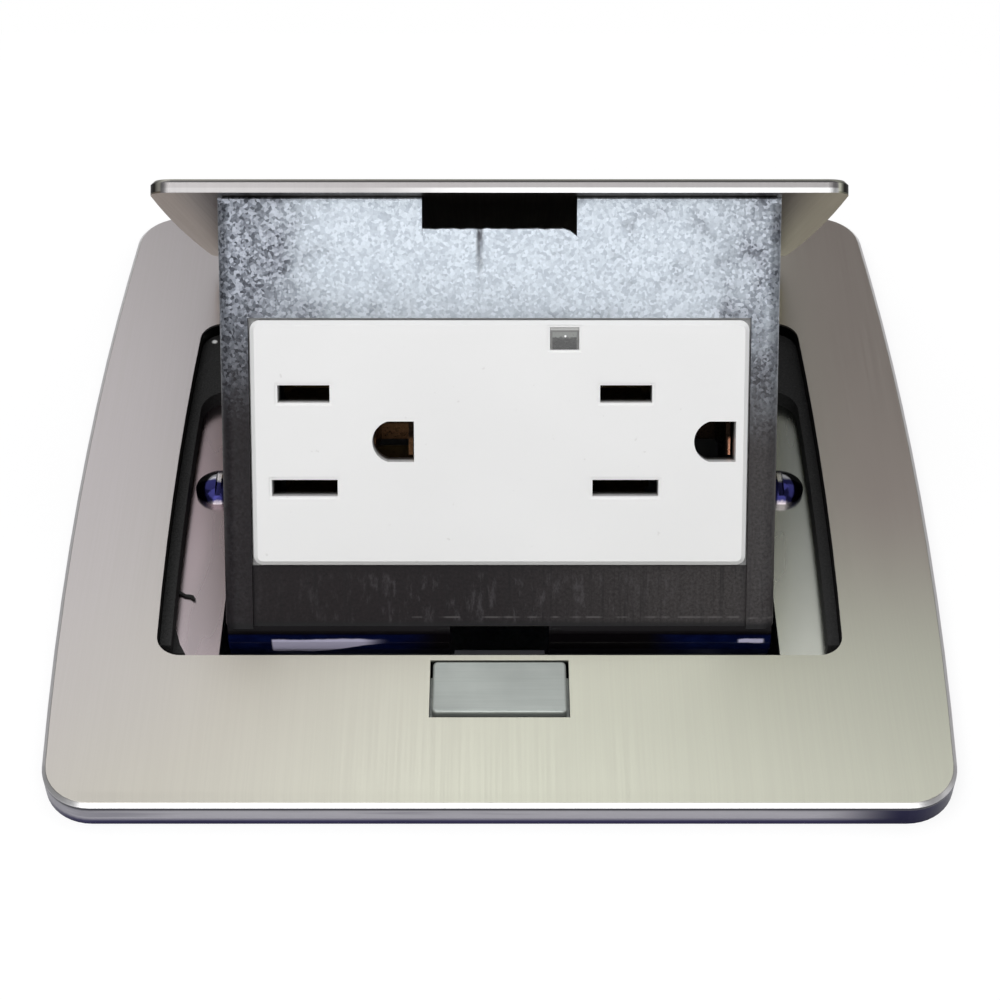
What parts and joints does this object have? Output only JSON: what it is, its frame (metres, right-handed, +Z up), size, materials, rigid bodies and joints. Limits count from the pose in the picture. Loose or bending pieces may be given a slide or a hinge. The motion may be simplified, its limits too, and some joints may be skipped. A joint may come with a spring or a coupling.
{
  "type": "floor socket box",
  "caption": "Pop-up floor socket box: a tilting lid lifts a sloping socket panel out of a bevelled metal plate, held down by a push-button latch, over a square sheet-metal back box.",
  "frame": {"origin": "middle of the back box's underside", "axes": "+X to the right along the hinge axis, +Y towards the hinge, +Z up out of the floor; the lid is stored open"},
  "size_m": [0.1232, 0.1184, 0.1195],
  "materials": {
    "plate_metal": "satin nickel with bright bevels",
    "zinc_sheet": "spangled zinc",
    "frame_sheet": "bright zinc plate",
    "box_sheet": "galvanised",
    "bright_steel": "bright",
    "chromed_screw": "polished",
    "spring_steel": "drawn wire",
    "pale_polymer": "matt",
    "black_rubber": "cellular, matt",
    "white_face": "smooth",
    "grey_body": "matt",
    "smoked_lens": "gloss",
    "contact_brass": "stamped",
    "contact_copper": "stamped",
    "earth_screw": "green lacquer",
    "button_satin": "satin metallic",
    "black_polymer": "moulded"
  },
  "bodies": {
    "frame": {"cover_plate": "plate_metal", "mounting_frame": "frame_sheet", "floor_box": "box_sheet", "box_ground_screw": "earth_screw", "fixing_screws": "chromed_screw", "frame_screws": "bright_steel", "latch_housing": "black_polymer", "latch_housing_screws": "bright_steel", "opening_seal": "black_rubber", "floor_gasket": "black_rubber", "pivot_pins": "bright_steel", "pin_clips": "bright_steel", "pivot_washers": "pale_polymer", "torsion_spring_left": "spring_steel", "torsion_spring_right": "spring_steel", "stop_bumpers": "black_rubber", "latch_spring": "spring_steel", "button_springs": "spring_steel"},
    "carrier": {"lid": "plate_metal", "lid_nuts": "bright_steel", "carrier_bracket": "zinc_sheet", "receptacle_face": "white_face", "indicator_lens": "smoked_lens", "receptacle_body": "grey_body", "line_contacts": "contact_brass", "neutral_contacts": "contact_brass", "ground_contacts": "contact_copper", "line_terminal_screws": "contact_brass", "neutral_terminal_screws": "bright_steel", "ground_terminal_screw": "earth_screw", "receptacle_strap": "frame_sheet", "strap_rivets": "bright_steel", "receptacle_screws": "bright_steel"},
    "button": {"release_button": "button_satin"},
    "bolt": {"latch_bolt": "black_polymer"}
  },
  "joints": [
    {"name": "lid_hinge", "type": "hinge", "parent": "frame", "child": "carrier", "pos_m": [0, 0.0418, 0.0512], "axis": [1, 0, 0], "range_deg": [0, 47.9], "stiffness_Nm_per_rad": 0.16, "springref_deg": -85.94, "deforming": ["torsion_spring_left", "torsion_spring_right"]},
    {"name": "button_press", "type": "slide", "parent": "frame", "child": "button", "axis": [0, 0, -1], "range_m": [0, 0.0025], "stiffness_N_per_m": 300, "springref_m": -0.003, "deforming": ["button_springs"]},
    {"name": "bolt_slide", "type": "slide", "parent": "frame", "child": "bolt", "axis": [0, -1, 0], "range_m": [0, 0.003], "stiffness_N_per_m": 150, "springref_m": -0.002, "deforming": ["latch_spring"]}
  ],
  "couplings": [
    {"joint": "bolt_slide", "follows": "button_press", "ratio": 1.2}
  ]
}
